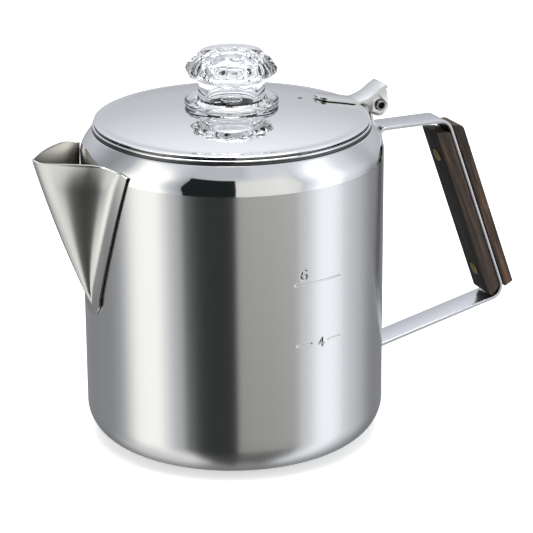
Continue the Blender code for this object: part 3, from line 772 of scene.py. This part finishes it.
def make_leaf():
    """The plate on the lid: a round end, then a channel rising over the pin, and two ears."""
    half, lift, end_x = LEAF_W / 2, GAP + EAR_T / 2, 36.0
    path, widths = [], []
    for a in np.linspace(5, 85, 22):
        x = end_x + half - half * math.cos(math.radians(a))
        path.append((x, dome(x) + lift))
        widths.append(2 * half * math.sin(math.radians(a)))
    rise = curve([(x, dome(x) + lift) for x in (42.0, 46.0, 50.5)]
                 + [(53.2, 130.45), (55.0, 130.75), (57.4, 131.5), (60.0, 132.9), (62.7, 134.8),
                    (64.2, 135.75), (65.2, 135.95), (65.9, 135.5)], 4)
    path += rise
    widths += [LEAF_W] * len(rise)
    leaf = strip("lid_leaf", path, widths, EAR_T, HINGE)
    settle(leaf)
    outline = curve([(54.4, 130.6), (55.2, 130.8), (57.4, 131.5), (60.0, 132.9), (62.7, 134.8),
                     (64.6, 135.8), (65.6, 134.6)], 4)
    outline += arc(PIN_X, PIN_Z, 3.9, 4.5, 15, -90, 24)
    outline += arc(PIN_X, PIN_Z, 5.0, 4.5, -92, -168, 20) + [(57.2, 128.6)]
    for s in (-1, 1):
        ear = slab("ear", outline[::-1], EAR_T, HINGE, y=s * (EAR_GAP + EAR_T) / 2)
        combine(leaf, ear, "UNION")
    combine(leaf, rods("pin_cut", [((PIN_X, 0.0, PIN_Z), (0, 1, 0), PIN_R + GAP, 30.0, 40)]))
    seats = [((PIN_X, s * half, PIN_Z), (0, 1, 0), PIN_HEAD_R + 0.45, 1.1, 48) for s in (-1, 1)]
    combine(leaf, rods("seat_cut", seats))
    bevel(leaf, 0.22, 2, 50.0)
    return settle(leaf)


def make_pin():
    """A tube with a rolled head at each end."""
    reach, round_r = LEAF_W / 2 + GAP, 0.45
    end = reach + 0.8
    lip = arc(PIN_HEAD_R - round_r, end - round_r, round_r, round_r, 0, 90, 5)
    flare = [(PIN_BORE + 0.35, end), (PIN_BORE + 0.1, end - 0.12), (PIN_BORE, end - 0.45)]
    top = [(PIN_R, reach), (PIN_HEAD_R, reach)] + lip + flare
    profile = [(r, -z) for r, z in top[::-1]] + top
    pin = turned("hinge_rivet", profile, [PIN], 48)
    pin.data.transform(Matrix.Translation(Vector((PIN_X, 0, PIN_Z)) * MM)
                       @ Matrix.Rotation(math.pi / 2, 4, "X"))
    return pin


place(make_bracket(), "pot", "polished_steel", "hinge_bracket")
place(make_pin(), "pot", "polished_steel", "hinge_pin")
place(make_leaf(), "lid", "polished_steel", "hinge_leaf", angle=32)


# ---------------------------------------------------------------- lid and knob

def make_lid():
    t = 1.0
    radii = np.linspace(LID_HOLE_R, 50.8, 34)
    top = [(r, dome(r)) for r in radii]
    edge_h = dome(51.0) - LID_EDGE_Z - 0.3
    edge = arc(LID_R - 2.6, LID_EDGE_Z + 0.3, 2.6, edge_h, 84, 0, 12)
    edge += [(LID_R, LID_EDGE_Z + 0.12), (LID_R - 0.12, LID_EDGE_Z)]
    under = [(LID_SKIRT_R + 0.3, LID_EDGE_Z), (LID_SKIRT_R, LID_EDGE_Z - 0.3),
             (LID_SKIRT_R, LID_SKIRT_Z + 0.2), (LID_SKIRT_R - 0.2, LID_SKIRT_Z),
             (LID_SKIRT_R - t + 0.2, LID_SKIRT_Z), (LID_SKIRT_R - t, LID_SKIRT_Z + 0.2),
             (LID_SKIRT_R - t, LID_EDGE_Z + 0.2), (LID_SKIRT_R - t - 1.2, dome(50.0) - t)]
    inside = [(r, dome(r) - t) for r in radii[-3::-3]] + [(LID_HOLE_R, dome(LID_HOLE_R) - t)]
    profile = top + edge + under + inside
    lid = turned("lid_shell", profile, [POLISHED], 240)
    vent = ((VENT_X, 0.0, dome(VENT_X)), (0, 0, 1), VENT_R, 8.0, 28)
    combine(lid, rods("vent_cut", [vent]))
    return combine(lid, brick("notch_cut", (0, 0, LID_TOP), (30.0, 7.0, 8.0), turn=60))


def fluted(points, angles):
    """Scoops the flutes out of the knob's crown."""
    turn = (angles / (2 * math.pi) * FLUTES) % 1.0
    scoop = 1.0 - (2.0 * turn - 1.0) ** 2
    z = points[:, :, 2] - LID_TOP
    r = np.hypot(points[:, :, 0], points[:, :, 1])
    heights, depths = zip((9.6, 0.0), (12.4, 0.7), (14.4, 1.1), (17.0, 1.4),
                          (19.2, 1.3), (20.6, 0.7), (21.2, 0.0))
    deep = np.interp(z, heights, depths)
    deep = np.where(r > 11.0, deep, 0.0)
    scale = (r - deep * scoop[None, :]) / np.maximum(r, 1e-9)
    points[:, :, 0] *= scale
    points[:, :, 1] *= scale
    return points


def make_knob():
    z0 = LID_TOP
    spigot, low = LID_HOLE_R - GAP - 0.1, -3.6
    crown = [(0.0, KNOB_H), (4.0, KNOB_H - 0.03), (8.0, KNOB_H - 0.1), (11.2, KNOB_H - 0.25),
             (12.1, KNOB_H - 0.5), (12.7, KNOB_H - 1.0), (13.9, 19.6), (15.0, 18.7),
             (16.4, 17.5), (17.5, 16.2), (18.0, 15.3), (18.2, 14.4), (18.15, 13.8), (17.9, 13.1),
             (17.2, 12.4), (16.2, 11.8), (15.0, 11.3), (14.0, 10.9), (13.45, 10.4), (13.2, 9.6)]
    neck = [(13.2, 8.0), (13.2, 5.5), (13.25, 4.2), (13.5, 3.5), (14.2, 2.95), (15.6, 2.75),
            (17.4, 2.65)]
    flange = arc(17.9, 1.45, 0.7, 1.15, 75, -90, 10)
    flange += [(17.0, 0.3), (14.0, 0.3), (spigot + 0.2, 0.3)]
    stem = [(spigot, 0.1), (spigot, -1.5), (spigot, low + 0.3), (spigot - 0.3, low)]
    cavity = [(KNOB_CAVITY_R + 0.2, low)]
    cavity += [(KNOB_CAVITY_R, z) for z in (low + 0.2, 0.0, 6.0, 12.0)]
    cavity += curve([(KNOB_CAVITY_R, 13.8), (9.0, 15.2), (7.8, 16.7), (5.8, 17.7),
                     (3.0, 18.3), (0.0, 18.4)], 4)
    profile = [(r, z0 + z) for r, z in crown + neck + flange + stem + cavity]
    knob = turned("clear_knob", profile, [CLEAR], FLUTES * 18, closed=False, shape=fluted)
    for s in (-1, 1):
        lug = brick("lug", (s * 12.1, 0, z0 - 2.7), (4.0, 5.6, 1.6), CLEAR, chamfer=0.25)
        combine(knob, lug, "UNION")
    return knob


place(make_lid(), "lid", "polished_steel", "lid", angle=32)
place(make_knob(), "knob", "clear_plastic", "knob", angle=28)


# ---------------------------------------------------------------- pump and basket

def ring_holes(radius, count, z, phase=0.0):
    """A ring of upright holes through a plate at height z; phase turns it, in hole steps."""
    turns = 2 * math.pi * (np.arange(count) + phase) / count
    return [((radius * math.cos(a), radius * math.sin(a), z), (0, 0, 1), 1.2, 6.0, 16)
            for a in turns]


def make_pump():
    lip = arc((TUBE_R + TUBE_BORE) / 2, TUBE_TOP - 0.4, 0.4, 0.4, 0, 180, 8)
    profile = [(TUBE_R, 4.0), (TUBE_R, 70.0)] + lip + [(TUBE_BORE, 70.0), (TUBE_BORE, 4.0)]
    tube = turned("tube", profile, [PUMP], 72)
    t, low, sleeve = 1.1, POT_WALL + GAP, TUBE_R + GAP
    outer = [(sleeve + t, FOOT_H + 4.0)] + curve([
        (sleeve + t, FOOT_H + 0.4), (sleeve + t + 1.0, FOOT_H - 0.2), (10.0, FOOT_H - 1.6),
        (20.0, FOOT_H - 4.6), (FOOT_R - 1.4, 4.6), (FOOT_R, low + 1.2)], 5) + [(FOOT_R, low)]
    inner = [(FOOT_R - t, low), (FOOT_R - t - 0.2, low + 1.4), (FOOT_R - 2.6, 4.6 - t * 0.6),
             (20.0, FOOT_H - 4.6 - t * 1.05), (10.0, FOOT_H - 1.6 - t), (sleeve, FOOT_H - t),
             (sleeve, FOOT_H + 4.0)]
    foot = turned("bell", outer + inner, [PUMP], 96)
    cuts = []
    for k in range(4):
        a = math.radians(45 + 90 * k)
        d = (math.cos(a), math.sin(a), 0.0)
        cuts.append(((d[0] * FOOT_R, d[1] * FOOT_R, low), d, 1.7, 9.0, 24))
    combine(foot, rods("bell_cut", cuts))
    z = COLLAR_Z
    profile = [(7.3, z + 2.4), (7.7, z + 2.1), (7.8, z + 1.8), (7.8, z + 0.6), (7.7, z + 0.2),
               (7.3, z), (sleeve, z), (sleeve, z + 2.4)]
    collar = turned("stop_collar", profile, [PUMP], 64)
    return tube, foot, collar


def make_basket():
    t, r, low, top = BASKET_T, BASKET_R, BASKET_LOW, BASKET_TOP
    sleeve = TUBE_R + GAP + 0.2
    profile = [(r - t / 2, top)] + arc(r - 0.3, top - 0.3, 0.3, 0.3, 90, 0, 3) + [(r, low + 20.0)]
    profile += arc(r - 3.0, low + 3.0, 3.0, 3.0, 0, -90, 8)
    profile += [(20.0, low), (sleeve + 2.5, low), (sleeve, low), (sleeve, low + 16.0),
                (sleeve + t, low + 16.0), (sleeve + t, low + 1.6), (sleeve + 2.6, low + t),
                (20.0, low + t)]
    profile += arc(r - 3.0, low + 3.0, 3.0 - t, 3.0 - t, -90, 0, 8)
    profile += [(r - t, low + 20.0), (r - t, top - 0.3)]
    basket = turned("coffee_basket", profile, [PUMP], 128)
    z = low + t / 2
    holes = ring_holes(13.0, 8, z) + ring_holes(20.0, 12, z, 0.5) + ring_holes(27.5, 16, z)
    for row, height in enumerate((low + 8.0, low + 15.0)):
        for a in 2 * math.pi * (np.arange(16) + 0.5 * row) / 16:
            d = (math.cos(a), math.sin(a), 0.0)
            holes.append(((d[0] * r, d[1] * r, height), d, 1.1, 6.0, 16))
    return combine(basket, rods("basket_cut", holes))


def make_spreader():
    t, z = 0.9, SPREADER_Z
    sleeve, rim = TUBE_R + GAP + 0.2, BASKET_R + GAP + 0.2
    profile = [(sleeve + t, z + 6.0), (sleeve + t, z + 1.9), (sleeve + t + 0.5, z + 1.2),
               (sleeve + 2.4, z + t), (18.0, z + t), (30.0, z + t), (31.4, z + t + 0.3),
               (rim - 1.6, z + t + 1.0), (rim - 1.0, z + t + 1.2),
               (rim + t - 0.6, z + t + 1.2), (rim + t - 0.15, z + t + 1.0),
               (rim + t, z + t + 0.6), (rim + t, z - 4.6), (rim, z - 4.6), (rim, z + 0.8),
               (rim - 1.6, z + 0.8), (30.4, z), (18.0, z), (sleeve, z), (sleeve, z + 6.0)]
    spreader = turned("basket_spreader", profile, [PUMP], 128)
    mid = z + t / 2
    holes = ring_holes(11.5, 8, mid) + ring_holes(18.0, 12, mid, 0.5) + ring_holes(24.5, 16, mid)
    return combine(spreader, rods("spreader_cut", holes))


tube, bell, collar = make_pump()
place(tube, "pump", "pump_metal", "pump_tube")
place(bell, "pump", "pump_metal", "pump_foot")
place(collar, "pump", "pump_metal", "pump_collar")
place(make_basket(), "basket", "pump_metal", "basket")
place(make_spreader(), "spreader", "pump_metal", "spreader")


# ---------------------------------------------------------------- studio

VIEW_TURN = 24.0        # the camera looks along +Y turned this far towards +X
VIEW_DOWN = 19.52
VIEW_ROLL = -0.34
VIEW_FROM = (-0.3547, -0.8294, 0.387)   # metres
VIEW_LENS = 160.7
FLOOR_R, FLOOR_Z = 6.0, -0.0002         # metres


def make_camera():
    cam = bpy.data.cameras.new("camera")
    cam.sensor_width = 36.0
    cam.lens = VIEW_LENS
    cam.clip_start, cam.clip_end = 0.01, 50.0
    ob = link("camera", cam)
    ob.matrix_world = (Matrix.Translation(VIEW_FROM)
                       @ Matrix.Rotation(math.radians(-VIEW_TURN), 4, "Z")
                       @ Matrix.Rotation(math.radians(90.0 - VIEW_DOWN), 4, "X")
                       @ Matrix.Rotation(math.radians(VIEW_ROLL), 4, "Z"))
    bpy.context.scene.camera = ob


def make_floor():
    """Pale paper that glows a little, so that the object's shadow on it stays soft."""
    mat, tree, shader, where = surface("floor_paper")
    paper = tree.mix(tree.noise(where, 30.0, 4.0), (0.90, 0.90, 0.90), (0.93, 0.93, 0.93))
    tree.feed(paper, shader, "Base Color")
    shader.inputs["Roughness"].default_value = 0.9
    shader.inputs["Emission Color"].default_value = (1.0, 1.0, 1.0, 1.0)
    shader.inputs["Emission Strength"].default_value = 0.45
    verts = [(FLOOR_R * math.cos(a), FLOOR_R * math.sin(a), FLOOR_Z)
             for a in np.linspace(0, 2 * math.pi, 64, endpoint=False)]
    floor = make_object("floor", verts, [list(range(64))], [mat])
    floor.visible_glossy = False


def make_light():
    lamp = bpy.data.lights.new("overhead", "AREA")
    lamp.shape, lamp.size = "DISK", 1.3
    lamp.energy = 16.0
    ob = link("overhead", lamp)
    ob.location = (0.05, 0.15, 1.5)
    ob.visible_camera = False


def make_world():
    """A studio in the round: tall soft boxes left and right, a dark and a pale card in front.

    Directions are in degrees. side is 0 towards the camera and grows to its right; up is
    the height above the horizon.
    """
    world = bpy.data.worlds.new("studio")
    bpy.context.scene.world = world
    world.use_nodes = True
    tree = Tree(world.node_tree)
    way = tree.node("ShaderNodeTexCoord").outputs["Generated"]
    to_camera = tree.node("ShaderNodeVectorRotate",
                          {"Vector": way, "Angle": math.radians(90 + VIEW_TURN)},
                          rotation_type="Z_AXIS").outputs[0]
    x, y, z = tree.node("ShaderNodeSeparateXYZ", {0: to_camera}).outputs
    side = tree.math("DEGREES", tree.math("ARCTAN2", y, x))
    up = tree.math("DEGREES", tree.math("ARCSINE", z))

    def tinted(brightness, tint=(1.0, 1.0, 1.0)):
        return tuple(brightness * c for c in tint)

    def by_height(tint, stops):
        unit = tree.math("MULTIPLY_ADD", up, 1 / 180, 0.5)
        return tree.ramp(unit, [(a / 180 + 0.5, tinted(v, tint)) for a, v in stops])

    def by_side(stops):
        unit = tree.math("MULTIPLY_ADD", side, 1 / 360, 0.5)
        return tree.ramp(unit, [(a / 360 + 0.5, tinted(v, tint)) for a, v, tint in stops])

    def within(value, low, high, soft):
        rise = tree.step(value, low - soft, low + soft)
        fall = tree.step(value, high - soft, high + soft, 1.0, 0.0)
        return tree.math("MULTIPLY", rise, fall)

    def card(colour, side_range, up_range, soft, brightness, tint=(1.0, 1.0, 1.0)):
        inside = tree.math("MULTIPLY", within(side, *side_range, soft), within(up, *up_range, soft))
        return tree.mix(inside, colour, tinted(brightness, tint))

    warm, cool, plain = (1.0, 0.995, 0.965), (0.97, 1.0, 1.05), (1.0, 1.0, 0.965)
    sky = (0.95, 0.975, 1.035)
    rear = by_height(sky, [
        (-70, 0.30), (-35, 0.26), (-18, 0.28), (-9, 0.47), (5, 0.60), (15, 0.66), (25, 0.80),
        (35, 0.97), (42, 1.08), (60, 1.17)])
    ring = by_side([
        (-120, 0.36, cool), (-108, 0.33, cool), (-94, 0.50, cool), (-80, 1.36, warm),
        (-72, 1.5, warm), (-59, 1.5, warm), (-47, 0.68, cool), (-37, 0.34, cool), (2, 0.80, plain),
        (15, 0.85, plain), (40, 0.93, plain), (51, 0.85, plain), (55, 0.70, cool),
        (61, 0.92, cool), (71, 1.40, cool), (84, 1.42, cool), (96, 0.92, cool),
        (111, 0.70, cool), (130, 0.38, cool)])
    above = by_side([
        (-100, 0.80, sky), (-55, 0.76, sky), (-35, 0.58, sky), (10, 0.58, sky),
        (22, 0.74, sky), (50, 0.76, sky), (100, 0.82, sky)])
    colour = tree.mix(tree.step(up, 38.0, 53.0), ring, above)
    # The dark floor in front, the dark card, and the two tones low on the spout's side.
    colour = card(colour, (3, 53), (-95, -19), 1.0, 0.12)
    colour = card(colour, (-37, 3.3), (-81, 46), 0.5, 0.017, (0.85, 1.1, 1.1))
    colour = card(colour, (-150, -66), (-81, -38), 8.0, 0.85)
    colour = card(colour, (-66, -34), (-81, -38), 6.0, 1.22)
    # Behind the object, straight below it, the dark card's foot, and straight above.
    colour = tree.mix(tree.step(tree.math("ABSOLUTE", side), 114.0, 142.0), colour, rear)
    colour = tree.mix(tree.step(up, -80.0, -70.0, 1.0, 0.0), colour, tinted(0.42))
    colour = card(colour, (-34, 3.3), (-99, -40), 5.0, 0.09)
    colour = tree.mix(tree.step(up, 62.0, 80.0), colour, tinted(1.15, sky))
    # The camera itself sees plain white.
    seen = tree.node("ShaderNodeLightPath").outputs["Is Camera Ray"]
    colour = tree.mix(seen, colour, (1.0, 1.0, 1.0))
    background = world.node_tree.nodes["Background"]
    tree.feed(colour, background, "Color")
    background.inputs["Strength"].default_value = 1.0


make_camera()
make_floor()
make_light()
make_world()
bpy.context.scene.view_settings.view_transform = "Standard"
